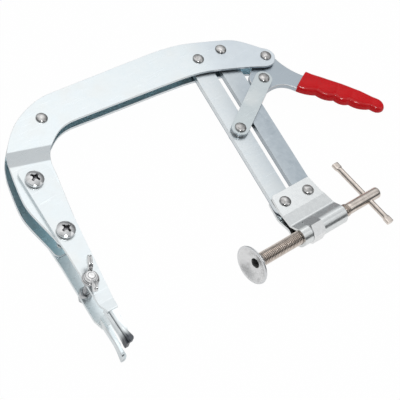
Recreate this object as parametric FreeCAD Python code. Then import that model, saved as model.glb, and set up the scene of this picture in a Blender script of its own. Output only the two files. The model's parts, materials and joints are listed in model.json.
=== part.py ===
"""Valve spring compressor: a two-plate C frame with a toggle lever, two swing arms,
a screw bracket with a T-handle spindle and pad, and an adjustable two-finger jaw.

Millimetres. X runs along the spindle from the pad to the T-handle, Y runs from the
spindle line up to the frame, Z points out of the front plate. The origin is the
centre of the pad's rim plane, on the spindle axis, in the middle plane between the plates.
"""
import FreeCAD
import Part
import math
import os

# Sheet and bar thicknesses
PLATE_T = 2.5
ARM_T = 5.0
LEVER_T = 5.0
SHEET_T = 2.5

# Layers counted outward from the middle plane
PLATE_GAP = 4.0
JOGGLE_STEP = 3.0
JOGGLE_DROP = 29.1
JOGGLE_RUN = 17.5
JOGGLE_BEND = 9.0
JOGGLE_DIR = (0.9636, -0.2674)
SIDE_PLAY = 0.1

# Frame: depth of the throat, reach from the corner to the arms, and the pivots
THROAT_DEPTH = 197.0
FRAME_SPAN = 169.8
CORNER_RISE = 12.7
FOOT_PIN = (67.7, 33.0)
ARM_LEAN = 38.2
ARM_PITCH = (27.0, -1.0)
LEVER_FROM_ARM = (61.1, -27.5)
LINK_FROM_LEVER = (-20.3, -20.0)
LINK_DOWN = 84.0
FAR = 500.0

# Pins, rivets and washers
PIN_R = 4.0
RUN_FIT = 0.05
HEAD_R = 5.3
HEAD_H = 2.5
WASHER_R = 7.5
SPACER_R = 7.0
TOGGLE_PLAY = 2.4

# Swing arms and toggle links
ARM_W = 20.0
GUIDE_W = 19.2
LINK_W = 16.0

# Screw bracket
FLANGE_IN = 3.0
WAIST_IN = 1.5
LOOP_OUT = 8.8
BRACKET_ABOVE = 10.3
BRACKET_BEHIND = 12.3
BRACKET_AHEAD = 13.0
BRACKET_TOP_BEHIND = 7.5
BRACKET_TOP_AHEAD = 10.4
SHOULDER_DROP = 7.0
FLANGE_DROP = 11.0
WAIST_RISE = 2.2
FOLD_R = 1.5
NUT_INSET = 10.4
NUT_LEN = 13.4
NUT_AF = 18.6
NUT_TURN = 30.0
NUT_FIT = 0.1

# Spindle, pad and T-bar
SPINDLE_R = 6.0
SPINDLE_FROM = 10.0
THREAD_TO = 115.8
SHANK_R = 5.25
SPINDLE_TO = 155.4
END_ROUND = 3.0
BALL_R = 4.2
BALL_AT = 6.2
NECK_R = 3.1
PAD_R = 17.6
PAD_T = 1.6
PAD_DEPTH = 4.4
TBAR_R = 2.7
TBAR_INSET = 14.1
TBAR_TOP = 43.4
TBAR_BOTTOM = -31.0
TBAR_FLAT = 6.0
TBAR_FLAT_W = 7.0
TBAR_FLAT_T = 3.6

# Jaw strips, screws and the clamp bolt
STRIP_T = 2.5
STRIP_STEP = 1.3
STRIP_STEP_FROM = 31.0
STRIP_STEP_TO = 22.3
STRIP_BEND = 6.0
SCREW_R = 4.0
SCREW_HEAD_R = 7.85
SCREW_HEAD_H = 5.0
SCREWS_FROM_CORNER = ((-48.8, -54.0), (-57.5, -108.1))
BOLT_FROM_JAW = (-69.7, 53.4)
BOLT_R = 3.0
BOLT_HEAD_AF = 10.0
BOLT_HEAD_H = 4.0
BOLT_NUT_H = 5.0
BOLT_END = 24.6
CLAMP_WASHER_T = 1.2
BOSS_R = 6.2
BOSS_H = 7.6
WING_REACH = 17.0
WING_T = 2.2
WING_RISE = 13.5
WING_TURN = 62.0

# Finger cross sections: height along Y, folded side and open side from the jaw line, outward flare
FINGERS = (
    (27.5, -75.7, -66.7, 0.0),
    (20.0, -76.6, -68.4, 0.0),
    (12.0, -77.6, -70.8, 0.0),
    (5.0, -78.5, -72.7, 0.0),
    (-1.5, -79.5, -72.3, 0.8),
    (-9.6, -81.1, -72.3, 2.2),
)
FINGER_DEPTH = 8.4
FOOT_FROM_JAW = -74.0
FINGER_BEND = 3.0

# Grip: distance along its axis, then its two edges across the axis
GRIP_FROM_LEVER = (11.6, -36.5)
GRIP_TILT = -52.0
GRIP_HALF_T = 6.6
GRIP_STATIONS = (
    (-1.0, -13.6, 14.0),
    (2.0, -14.3, 14.4),
    (8.0, -13.6, 14.6),
    (14.0, -12.6, 14.6),
    (17.5, -11.6, 14.5),
    (22.0, -14.0, 14.4),
    (28.0, -14.0, 14.2),
    (34.5, -11.3, 14.0),
    (39.0, -13.4, 13.9),
    (45.0, -13.2, 13.8),
    (51.5, -10.6, 13.7),
    (56.0, -12.6, 13.6),
    (62.0, -12.2, 13.3),
    (68.5, -9.6, 12.9),
    (73.0, -11.4, 12.4),
    (79.0, -11.6, 11.4),
    (84.0, -10.2, 9.6),
    (87.6, -7.2, 6.4),
)
TANG_HALF_W = 7.5
TANG_LEN = 66.0

# Plate outline, from the corner rivet
OUTER_EDGE = (
    (-68.3, -110.7), (-69.0, -97.7), (-70.0, -83.7), (-69.8, -71.7),
    (-67.0, -59.0), (-63.1, -46.7), (-57.9, -32.3), (-50.1, -18.0),
    (-42.7, -9.7), (-34.9, -2.3), (-25.4, 4.9), (-7.2, 13.9),
    (6.5, 17.9), (19.9, 19.5),
)
CROTCH_EDGE = (
    (27.9, -15.3), (17.9, -15.2), (9.4, -16.8), (1.9, -20.0),
    (-5.6, -24.7), (-12.4, -29.9), (-18.1, -36.1), (-23.0, -43.7),
    (-26.5, -54.6), (-30.5, -66.7), (-35.5, -81.7), (-45.3, -112.2),
)
ARM_FOOT = (
    (-48.5, -116.7), (-65.5, -116.7),
)

# Plate outline, from the main arm's pivot
NOSE_EDGE = (
    (-47.9, 27.1), (-25.2, 25.4), (-4.0, 21.7), (15.0, 15.4),
    (34.2, 8.0), (44.6, 3.0), (55.1, -6.8), (64.7, -18.8),
)
NOSE_END = (
    (70.0, -27.2), (65.7, -35.4),
)
UNDER_NOSE = (
    (65.7, -35.4), (60.1, -38.4), (53.6, -37.7), (42.6, -32.8),
    (28.8, -26.9), (14.7, -21.4), (0.7, -16.4), (-15.2, -12.8),
    (-35.9, -10.4), (-53.6, -8.9),
)

# Jaw strip outline: upper points from the corner rivet, lower ones from the spindle line below it
STRIP_UPPER_LEFT = (
    (-57.4, -43.3), (-67.9, -110.2), (-69.7, -125.7),
)
STRIP_LOWER = (
    (-78.1, 30.6), (-76.0, 21.9), (-66.5, 21.9), (-64.0, 30.8),
    (-56.9, 56.9),
)
STRIP_UPPER_RIGHT = (
    (-46.2, -112.6), (-37.5, -81.7), (-29.5, -51.7), (-31.6, -43.7),
    (-54.0, -38.2),
)

# Lever outline, from the lever's pivot
LEVER_BACK = (
    (9.6, -0.5), (10.0, -8.5), (13.2, -21.5), (20.4, -34.6),
)
LEVER_FRONT = (
    (2.6, -41.9), (-2.4, -35.5), (-8.5, -31.8), (-17.0, -30.6),
    (-26.6, -31.8),
)
LEVER_LOBE = (
    (-26.6, -31.8), (-32.5, -17.3), (-25.6, -7.6), (-6.5, 7.1),
)
LEVER_NOSE = (
    (-6.5, 7.1), (1.7, 9.5), (9.6, -0.5),
)


def vec(x, y, z=0.0):
    """A vector."""
    return FreeCAD.Vector(x, y, z)


def flat(points, z=0.0):
    """Plane points lifted to one height."""
    return [vec(p[0], p[1], z) for p in points]


def along(start, direction, distance):
    """The plane point at a distance from a start."""
    return (start[0] + direction[0] * distance, start[1] + direction[1] * distance)


def unit(d):
    """A plane direction of length one."""
    size = math.hypot(d[0], d[1])
    return (d[0] / size, d[1] / size)


def shifted(p, d):
    """A plane point moved by a plane vector."""
    return (p[0] + d[0], p[1] + d[1])


def all_from(origin, points):
    """A list of plane points measured from one origin."""
    return [shifted(origin, p) for p in points]


ARM_PIVOT = (FOOT_PIN[0] + ARM_LEAN, THROAT_DEPTH)
ARM_DIR = unit((-ARM_LEAN, FOOT_PIN[1] - THROAT_DEPTH))
GUIDE_PIVOT = shifted(ARM_PIVOT, ARM_PITCH)
GUIDE_FOOT_PIN = shifted(FOOT_PIN, ARM_PITCH)
LEVER_PIVOT = shifted(ARM_PIVOT, LEVER_FROM_ARM)
LINK_PIVOT = shifted(LEVER_PIVOT, LINK_FROM_LEVER)
GRIP_START = shifted(LEVER_PIVOT, GRIP_FROM_LEVER)
CORNER_RIVET = (ARM_PIVOT[0] - FRAME_SPAN, ARM_PIVOT[1] + CORNER_RISE)
JAW_LINE = (CORNER_RIVET[0], 0.0)
SCREWS = all_from(CORNER_RIVET, SCREWS_FROM_CORNER)
BOLT_AT = shifted(JAW_LINE, BOLT_FROM_JAW)
LINK_FOOT = along(ARM_PIVOT, ARM_DIR, LINK_DOWN)
BRACKET_TOP = FOOT_PIN[1] + BRACKET_ABOVE
BRACKET_LEFT = FOOT_PIN[0] - BRACKET_BEHIND
BRACKET_RIGHT = GUIDE_FOOT_PIN[0] + BRACKET_AHEAD
NUT_FROM = BRACKET_LEFT + NUT_INSET
TBAR_AT = SPINDLE_TO - TBAR_INSET
JOGGLE_FROM = JOGGLE_DIR[1] * CORNER_RIVET[0] - JOGGLE_DIR[0] * CORNER_RIVET[1] + JOGGLE_DROP
JOGGLE_TO = JOGGLE_FROM + JOGGLE_RUN
PLATE_OUT = PLATE_GAP + PLATE_T
JAW_IN = PLATE_GAP + JOGGLE_STEP
STRIP_IN = JAW_IN + PLATE_T
STRIP_OUT = STRIP_IN + STRIP_T
LINK_IN = PLATE_GAP
FLANGE_OUT = FLANGE_IN + SHEET_T
LOOP_IN = LOOP_OUT - SHEET_T


def rod(x, y, r, z0, z1):
    """A round bar along Z."""
    return Part.makeCylinder(r, z1 - z0, vec(x, y, z0))


def through(p, r):
    """A bar along Z that is longer than everything it cuts."""
    return rod(p[0], p[1], r, -FAR, FAR)


def rod_x(r, x0, x1):
    """A round bar along the spindle axis."""
    return Part.makeCylinder(r, x1 - x0, vec(x0, 0, 0), vec(1, 0, 0))


def ring(x, y, r_out, r_in, z0, z1):
    """A washer along Z."""
    return rod(x, y, r_out, z0, z1).cut(rod(x, y, r_in, z0 - 1, z1 + 1))


def line(a, b):
    """A straight edge on the middle plane."""
    return Part.makeLine(vec(*a), vec(*b))


def spline(points):
    """A smooth edge on the middle plane."""
    curve = Part.BSplineCurve()
    curve.interpolate(flat(points))
    return curve.toShape()


def arc(a, m, b):
    """An arc through three plane points."""
    return Part.Arc(vec(*a), vec(*m), vec(*b)).toShape()


def face_of(edges):
    """The face inside a closed chain of edges."""
    return Part.Face(Part.Wire(Part.__sortEdges__(edges)))


def prism(face, z0, z1):
    """A plane face as a solid between two heights."""
    solid = face.copy()
    solid.translate(vec(0, 0, z0))
    return solid.extrude(vec(0, 0, z1 - z0))


def lengthwise(face, x0, x1):
    """A face drawn as (Y, Z) made into a bar along X between two places."""
    bar = prism(face, x0, x1)
    bar.rotate(vec(0, 0, 0), vec(1, 1, 1), 120)
    return bar


def rounded(points, radii, closed=True):
    """The edges of a polygon or an open chain with rounded corners."""
    count = len(points)
    starts = []
    ends = []
    edges = []
    for i in range(count):
        here = vec(*points[i])
        back = (vec(*points[i - 1]) - here).normalize()
        ahead = (vec(*points[(i + 1) % count]) - here).normalize()
        half = back.getAngle(ahead) / 2.0
        reach = radii[i] / math.tan(half)
        starts.append(here + back * reach)
        ends.append(here + ahead * reach)
        if radii[i] > 0:
            middle = (back + ahead).normalize()
            centre = here + middle * (radii[i] / math.sin(half))
            edges.append(Part.Arc(starts[i], centre - middle * radii[i], ends[i]).toShape())
    for i in range(count if closed else count - 1):
        a = ends[i]
        b = starts[(i + 1) % count]
        if (a - b).Length > 1e-6:
            edges.append(Part.makeLine(a, b))
    return edges


def slot_bar(a, b, width, z0, z1):
    """A bar with round ends between two plane points."""
    d = unit((b[0] - a[0], b[1] - a[1]))
    side = (-d[1] * width / 2, d[0] * width / 2)
    far = (-side[0], -side[1])
    tip_a = along(a, d, -width / 2)
    tip_b = along(b, d, width / 2)
    edges = [
        line(shifted(a, side), shifted(b, side)),
        arc(shifted(b, side), tip_b, shifted(b, far)),
        line(shifted(b, far), shifted(a, far)),
        arc(shifted(a, far), tip_a, shifted(a, side)),
    ]
    return prism(face_of(edges), z0, z1)


def turned(profile, centre, axis):
    """A solid turned from a closed (radius, height) profile about a Z or X axis."""
    if axis == "Z":
        points = [vec(centre[0] + r, centre[1], h) for r, h in profile]
        spin = vec(0, 0, 1)
    else:
        points = [vec(h, r, 0) for r, h in profile]
        spin = vec(1, 0, 0)
    face = Part.Face(Part.makePolygon(points + [points[0]]))
    return face.revolve(vec(centre[0], centre[1], 0), spin, 360)


def dome(p, r, h, seat):
    """A low dome head that stands on a height, with a short straight rim."""
    bands = ((1.0, 0.22), (0.82, 0.62), (0.48, 0.9), (0.0, 1.0))
    return turned([(0.0, seat), (r, seat)] + [(r * a, seat + h * b) for a, b in bands], p, "Z")


def rivet(p, seat):
    """A rivet with a dome head on each side of the compressor."""
    half = rod(p[0], p[1], PIN_R, 0, seat).fuse(dome(p, HEAD_R, HEAD_H, seat))
    return half.fuse(mirrored(half)).removeSplitter()


def mirrored(shape):
    """The same shape on the back of the compressor."""
    return shape.mirror(vec(0, 0, 0), vec(0, 0, 1))


def band(points, radii, direction):
    """A bent sheet: (across, height) points with bend radii, swept along a plane direction."""
    across = vec(direction[1], -direction[0])
    face = face_of(rounded(points, radii))
    face.Placement = FreeCAD.Placement(
        vec(direction[0] * FAR, direction[1] * FAR), FreeCAD.Rotation(across, vec(0, 0, 1), vec(0, 0, 0), "XYZ"))
    return face.extrude(vec(-direction[0] * 2 * FAR, -direction[1] * 2 * FAR, 0))


def stepped(start, end, low, step, thick, bend):
    """The section of a sheet that steps outward between two places across it."""
    high = low + step
    points = [(-FAR, low), (start, low), (end, high), (FAR, high),
              (FAR, high + thick), (end, high + thick), (start, low + thick), (-FAR, low + thick)]
    outer = bend + thick
    return points, [0.0, outer, bend, 0.0, 0.0, outer, bend, 0.0]


def save(shape, name):
    """Write one named shape."""
    shape.exportStep("parts/" + name + ".step")


def group(shapes):
    """Identical pieces kept together as one node."""
    return Part.makeCompound(shapes)


def frame_plate():
    """The front plate: C outline, stepped outward at the jaw arm, with its holes."""
    outer = all_from(CORNER_RIVET, OUTER_EDGE)
    crotch = all_from(CORNER_RIVET, CROTCH_EDGE)
    foot = all_from(CORNER_RIVET, ARM_FOOT)
    nose = all_from(ARM_PIVOT, NOSE_EDGE)
    end = all_from(ARM_PIVOT, NOSE_END)
    under = all_from(ARM_PIVOT, UNDER_NOSE)
    edges = [spline(outer), line(outer[-1], nose[0]), spline(nose), arc(nose[-1], end[0], end[1]),
             spline(under), line(under[-1], crotch[0]), spline(crotch)]
    edges.append(arc(crotch[-1], shifted(crotch[-1], (-1.0, -3.2)), foot[0]))
    edges.append(line(foot[0], foot[1]))
    edges.append(arc(foot[1], shifted(outer[0], (0.9, -4.2)), outer[0]))
    blank = prism(face_of(edges), 0, FAR)
    section = stepped(JOGGLE_FROM, JOGGLE_TO, PLATE_GAP, JOGGLE_STEP, PLATE_T, JOGGLE_BEND)
    plate = blank.common(band(section[0], section[1], JOGGLE_DIR))
    for p in (CORNER_RIVET, ARM_PIVOT, GUIDE_PIVOT, LEVER_PIVOT):
        plate = plate.cut(through(p, PIN_R))
    for p in SCREWS:
        plate = plate.cut(through(p, SCREW_R))
    return plate


def finger_section(y, x_fold, x_open, flare):
    """One angle-shaped cross section of a finger, as a closed wire at height y."""
    top = STRIP_OUT + STRIP_STEP + flare
    fold = x_fold - flare * 0.4
    low = STRIP_OUT + STRIP_STEP - FINGER_DEPTH
    inner = FINGER_BEND - STRIP_T
    s = math.sqrt(0.5)

    def p(x, z):
        return vec(x, y, z)

    centre = (fold + FINGER_BEND, top - FINGER_BEND)
    edges = [
        Part.makeLine(p(x_open, top), p(centre[0], top)),
        Part.Arc(p(centre[0], top), p(centre[0] - FINGER_BEND * s, centre[1] + FINGER_BEND * s),
                 p(fold, centre[1])).toShape(),
        Part.makeLine(p(fold, centre[1]), p(fold, low)),
        Part.makeLine(p(fold, low), p(fold + STRIP_T, low)),
        Part.makeLine(p(fold + STRIP_T, low), p(fold + STRIP_T, centre[1])),
        Part.Arc(p(fold + STRIP_T, centre[1]), p(centre[0] - inner * s, centre[1] + inner * s),
                 p(centre[0], top - STRIP_T)).toShape(),
        Part.makeLine(p(centre[0], top - STRIP_T), p(x_open, top - STRIP_T)),
        Part.makeLine(p(x_open, top - STRIP_T), p(x_open, top)),
    ]
    return Part.Wire(edges)


def jaw_strip():
    """The front jaw strip with its step and its angle-shaped finger."""
    outline = (all_from(CORNER_RIVET, STRIP_UPPER_LEFT) + all_from(JAW_LINE, STRIP_LOWER)
               + all_from(CORNER_RIVET, STRIP_UPPER_RIGHT))
    radii = [5.0, 30.0, 30.0, 0.0, 0.0, 0.0, 0.0, 0.0, 0.0, 0.0, 6.0, 5.0, 5.0]
    blank = prism(face_of(rounded(outline, radii)), 0, FAR)
    section = stepped(-STRIP_STEP_FROM, -STRIP_STEP_TO, STRIP_IN, STRIP_STEP, STRIP_T, STRIP_BEND)
    strip = blank.common(band(section[0], section[1], (1.0, 0.0)))
    finger = jaw_finger()
    over = Part.makeBox(2 * FAR, FAR, FAR, vec(-FAR, STRIP_STEP_TO - 1.0, STRIP_OUT - 1.5))
    strip = strip.fuse(finger.cut(over)).removeSplitter()
    for p in SCREWS:
        strip = strip.cut(through(p, SCREW_R))
    return strip.cut(through(BOLT_AT, BOLT_R))


def jaw_finger():
    """The finger below the strip's step: an angle section that turns outward at its foot."""
    x = JAW_LINE[0]
    finger = Part.makeLoft([finger_section(s[0], x + s[1], x + s[2], s[3]) for s in FINGERS], True, True)
    low = FINGERS[-1][0]
    foot = x + FOOT_FROM_JAW
    plan = rounded([(foot - 20, low), (foot, low), (foot, 0.0), (foot + 18, 40), (foot - 20, 40)],
                   [0.0, 4.0, 0.0, 0.0, 0.0])
    finger = finger.common(prism(face_of(plan), 0, FAR))
    z_low = STRIP_OUT + STRIP_STEP - FINGER_DEPTH
    heel = rounded([(low, z_low), (40.0, z_low), (40.0, 40.0), (low, 40.0)], [3.5, 0.0, 0.0, 0.0])
    finger = finger.common(lengthwise(face_of(heel), -FAR, FAR))
    fold = x + FINGERS[0][1]
    throat = FINGERS[0][0]
    left = (fold - 6, throat - 3.2)
    right = (fold + 4.5, throat + 6)
    corner = (left[0], right[1])
    relief = prism(face_of([arc(left, (fold - 1, throat - 1.2), right), line(right, corner), line(corner, left)]),
                   0, STRIP_IN - 0.2)
    return finger.cut(relief)


def jaw_screw(p):
    """A pan-head screw standing in the front strip and arm plate."""
    r = SCREW_HEAD_R
    h = SCREW_HEAD_H
    profile = [(0.0, STRIP_OUT), (r, STRIP_OUT), (r, STRIP_OUT + 0.42 * h), (0.89 * r, STRIP_OUT + 0.76 * h),
               (0.58 * r, STRIP_OUT + 0.96 * h), (0.0, STRIP_OUT + h)]
    head = turned(profile, p, "Z")
    return head.fuse(rod(p[0], p[1], SCREW_R, JAW_IN - 0.5, STRIP_OUT)).removeSplitter()


def hexagon(p, flats, turn):
    """A hexagon face round a plane point, its first corner at an angle from X."""
    corner = flats / 2 / math.cos(math.pi / 6)
    angles = [math.radians(60 * k + turn) for k in range(7)]
    points = [vec(p[0] + corner * math.cos(t), p[1] + corner * math.sin(t)) for t in angles]
    return Part.Face(Part.makePolygon(points))


def jaw_bolt():
    """The clamp bolt through both strips, its hexagon head behind the back strip."""
    head = prism(hexagon(BOLT_AT, BOLT_HEAD_AF, 30), -STRIP_OUT - BOLT_HEAD_H, -STRIP_OUT)
    shank = rod(BOLT_AT[0], BOLT_AT[1], BOLT_R, -STRIP_OUT, BOLT_END)
    return head.fuse(shank).removeSplitter()


def bolt_nut():
    """The nut that holds the clamp bolt to the back strip, between the strips."""
    nut = prism(hexagon(BOLT_AT, BOLT_HEAD_AF, 0), -STRIP_IN, -STRIP_IN + BOLT_NUT_H)
    return nut.cut(through(BOLT_AT, BOLT_R))


def wing_nut():
    """The wing nut: a tapered boss with two raised wings."""
    z = STRIP_OUT + CLAMP_WASHER_T + SIDE_PLAY
    boss = turned([(0.0, z), (BOSS_R, z), (BOSS_R, z + 1.6), (BOSS_R * 0.84, z + BOSS_H), (0.0, z + BOSS_H)],
                  BOLT_AT, "Z")
    half = [(9.0, 1.8), (WING_REACH, WING_RISE * 0.62), (WING_REACH - 3.2, WING_RISE), (7.6, WING_RISE * 0.6)]
    outline = half + [(-px, py) for px, py in reversed(half)]
    radii = [4.0, 2.7, 2.7, 4.0]
    blade = face_of(rounded(outline, radii + radii[::-1])).extrude(vec(0, 0, WING_T))
    blade.translate(vec(0, 0, -WING_T / 2))
    blade.rotate(vec(0, 0, 0), vec(1, 0, 0), 90)
    blade.rotate(vec(0, 0, 0), vec(0, 0, 1), WING_TURN)
    blade.translate(vec(BOLT_AT[0], BOLT_AT[1], z))
    boss = boss.fuse(blade)
    return boss.removeSplitter().cut(through(BOLT_AT, BOLT_R + RUN_FIT))


def swing_arm(top, foot, width, holes):
    """A flat arm with round ends and pivot holes."""
    bar = slot_bar(top, foot, width, -ARM_T / 2, ARM_T / 2)
    for p in holes:
        bar = bar.cut(through(p, PIN_R + RUN_FIT))
    return bar


def toggle_link():
    """The front toggle link, riveted to its two cross pins."""
    bar = slot_bar(LINK_FOOT, LINK_PIVOT, LINK_W, LINK_IN, LINK_IN + PLATE_T)
    for p in (LINK_FOOT, LINK_PIVOT):
        bar = bar.cut(through(p, PIN_R))
    return bar


def grip_axis():
    """The grip's plane direction and the direction across it."""
    t = math.radians(GRIP_TILT)
    return (math.cos(t), math.sin(t)), (-math.sin(t), math.cos(t))


def lever():
    """The lever plate with its toggle lobe and the tang inside the grip."""
    run, across = grip_axis()

    def tang(s, w):
        return shifted(along(GRIP_START, run, s), (across[0] * w, across[1] * w))

    back = all_from(LEVER_PIVOT, LEVER_BACK)
    front = all_from(LEVER_PIVOT, LEVER_FRONT)
    lobe = all_from(LEVER_PIVOT, LEVER_LOBE)
    nose = all_from(LEVER_PIVOT, LEVER_NOSE)
    edges = [
        spline(back),
        line(back[-1], tang(6.0, TANG_HALF_W)),
        line(tang(6.0, TANG_HALF_W), tang(TANG_LEN, TANG_HALF_W)),
        line(tang(TANG_LEN, TANG_HALF_W), tang(TANG_LEN, -TANG_HALF_W)),
        line(tang(TANG_LEN, -TANG_HALF_W), tang(6.0, -TANG_HALF_W)),
        line(tang(6.0, -TANG_HALF_W), front[0]),
        spline(front),
        arc(lobe[0], lobe[1], lobe[2]),
        line(lobe[2], lobe[3]),
        arc(nose[0], nose[1], nose[2]),
    ]
    plate = prism(face_of(edges), -LEVER_T / 2, LEVER_T / 2)
    plate = plate.cut(through(LEVER_PIVOT, PIN_R + RUN_FIT))
    return plate.cut(through(LINK_PIVOT, PIN_R + TOGGLE_PLAY))


def grip(tang):
    """The dipped grip: smooth back edge, finger ridges on the inner edge."""
    run, across = grip_axis()
    sections = []
    for s, low, high in GRIP_STATIONS:
        middle = (low + high) / 2
        half = (high - low) / 2
        ratio = min(1.0, (half / 12.0) ** 0.5)
        centre = shifted(along(GRIP_START, run, s), (across[0] * middle, across[1] * middle))
        major = vec(centre[0] + across[0] * half, centre[1] + across[1] * half, 0)
        minor = vec(centre[0], centre[1], GRIP_HALF_T * ratio)
        oval = Part.Ellipse(major, minor, vec(centre[0], centre[1], 0))
        sections.append(Part.Wire([oval.toShape()]))
    body = Part.makeLoft(sections, True, True)
    return body.cut(tang)


def bracket():
    """The folded sheet bracket: two flanges, a waist and a loop round the spindle."""
    def tangent(y, z, r):
        lean = math.atan2(z, y) + math.acos(r / math.hypot(y, z))
        return (r * math.cos(lean), r * math.sin(lean))

    fold_y = FOOT_PIN[1] - FLANGE_DROP
    waist_y = LOOP_OUT + WAIST_RISE
    outer = [(FAR, FLANGE_OUT), (fold_y, FLANGE_OUT), (waist_y, WAIST_IN + SHEET_T)]
    inner = [(FAR, FLANGE_IN), (fold_y + 0.3, FLANGE_IN), (waist_y + 0.7, WAIST_IN)]
    outer.append(tangent(outer[2][0], outer[2][1], LOOP_OUT))
    inner.append(tangent(inner[2][0], inner[2][1], LOOP_IN))
    edges = []
    for side in (1, -1):
        edges += rounded([(y, side * z) for y, z in outer], [0.0, FOLD_R, FOLD_R + SHEET_T, 0.0], False)
        edges += rounded([(y, side * z) for y, z in inner], [0.0, FOLD_R + SHEET_T, FOLD_R, 0.0], False)
        edges.append(line((FAR, side * FLANGE_OUT), (FAR, side * FLANGE_IN)))
    for chain, r in ((outer, LOOP_OUT), (inner, LOOP_IN)):
        end = chain[-1]
        edges.append(arc(end, (-r, 0), (end[0], -end[1])))
    sheet = lengthwise(face_of(edges), BRACKET_LEFT, BRACKET_RIGHT)
    shoulder = FOOT_PIN[1] - SHOULDER_DROP
    top_left = FOOT_PIN[0] - BRACKET_TOP_BEHIND
    top_right = GUIDE_FOOT_PIN[0] + BRACKET_TOP_AHEAD
    plan = rounded([(BRACKET_LEFT, -FAR), (BRACKET_RIGHT, -FAR), (BRACKET_RIGHT, LOOP_OUT + 3.2), (top_right, shoulder),
                    (top_right, BRACKET_TOP), (top_left, BRACKET_TOP), (BRACKET_LEFT, shoulder)],
                   [0.0, 0.0, 6.0, 6.0, 2.0, 3.5, 6.0])
    sheet = sheet.common(prism(face_of(plan), -FAR, FAR))
    window = hexagon((0, 0), NUT_AF + 2 * NUT_FIT, NUT_TURN)
    sheet = sheet.cut(lengthwise(window, NUT_FROM - NUT_FIT, NUT_FROM + NUT_LEN + NUT_FIT))
    for q in (FOOT_PIN, GUIDE_FOOT_PIN):
        sheet = sheet.cut(through(q, PIN_R))
    return sheet


def captive_nut():
    """The hexagon nut held in the bracket's loop."""
    end = NUT_FROM + NUT_LEN
    corner = NUT_AF * 0.6
    nut = lengthwise(hexagon((0, 0), NUT_AF, NUT_TURN), NUT_FROM, end)
    chamfer = turned([(0.0, NUT_FROM), (NUT_AF / 2, NUT_FROM), (corner, NUT_FROM + 1.0),
                      (corner, end - 1.0), (NUT_AF / 2, end), (0.0, end)], (0, 0), "X")
    return nut.common(chamfer).cut(rod_x(SPINDLE_R + RUN_FIT, -FAR, FAR))


def spindle():
    """The spindle: ball end, threaded length, smooth head with a cross hole."""
    half_dome = [(SHANK_R * math.cos(math.radians(t)),
                  SPINDLE_TO - END_ROUND + END_ROUND * math.sin(math.radians(t))) for t in range(0, 90, 22)]
    profile = [(0.0, BALL_AT), (NECK_R, BALL_AT), (NECK_R, SPINDLE_FROM), (SPINDLE_R - 0.8, SPINDLE_FROM),
               (SPINDLE_R, SPINDLE_FROM + 0.8), (SPINDLE_R, THREAD_TO), (SHANK_R, THREAD_TO + 2.4)]
    profile += half_dome + [(0.0, SPINDLE_TO)]
    body = turned(profile, (0, 0), "X")
    ball = Part.makeSphere(BALL_R, vec(BALL_AT, 0, 0))
    body = body.fuse(ball).removeSplitter()
    hole = Part.makeCylinder(TBAR_R + RUN_FIT, 4 * SHANK_R, vec(TBAR_AT, -2 * SHANK_R, 0), vec(0, 1, 0))
    return body.cut(hole)


def pad():
    """The dished pad with its socket for the spindle's ball."""
    steps = [k / 4.0 for k in range(5)]
    dish = [(0.9 * PAD_R * (1 - k) + 4.6 * k, PAD_DEPTH * math.sin(math.pi / 2 * k) ** 1.15) for k in steps]
    back = [(r, h + PAD_T) for r, h in reversed(dish) if r > 8.4]
    hub = [(3.9, PAD_DEPTH + 0.2), (3.9, BALL_AT + 3.1), (6.6, BALL_AT + 3.1), (7.6, BALL_AT + 1.6),
           (7.6, PAD_DEPTH + PAD_T + 0.3)]
    profile = [(PAD_R, 0.3), (PAD_R - 0.7, 0.0)] + dish + hub + back + [(PAD_R, PAD_T)]
    body = turned(profile, (0, 0), "X")
    return body.cut(Part.makeSphere(BALL_R + RUN_FIT, vec(BALL_AT, 0, 0)))


def t_bar():
    """The sliding T-bar with flattened ends."""
    body = Part.makeCylinder(TBAR_R, TBAR_TOP - TBAR_BOTTOM - 2 * TBAR_FLAT + 2.0,
                             vec(TBAR_AT, TBAR_BOTTOM + TBAR_FLAT - 1.0, 0), vec(0, 1, 0))
    for y in (TBAR_BOTTOM, TBAR_TOP - TBAR_FLAT):
        end = Part.makeBox(TBAR_FLAT_W, TBAR_FLAT, TBAR_FLAT_T,
                           vec(TBAR_AT - TBAR_FLAT_W / 2, y, -TBAR_FLAT_T / 2))
        end = end.makeFillet(1.0, [e for e in end.Edges if abs(e.tangentAt(e.FirstParameter).z) > 0.9])
        body = body.fuse(end)
    return body.removeSplitter()


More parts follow.
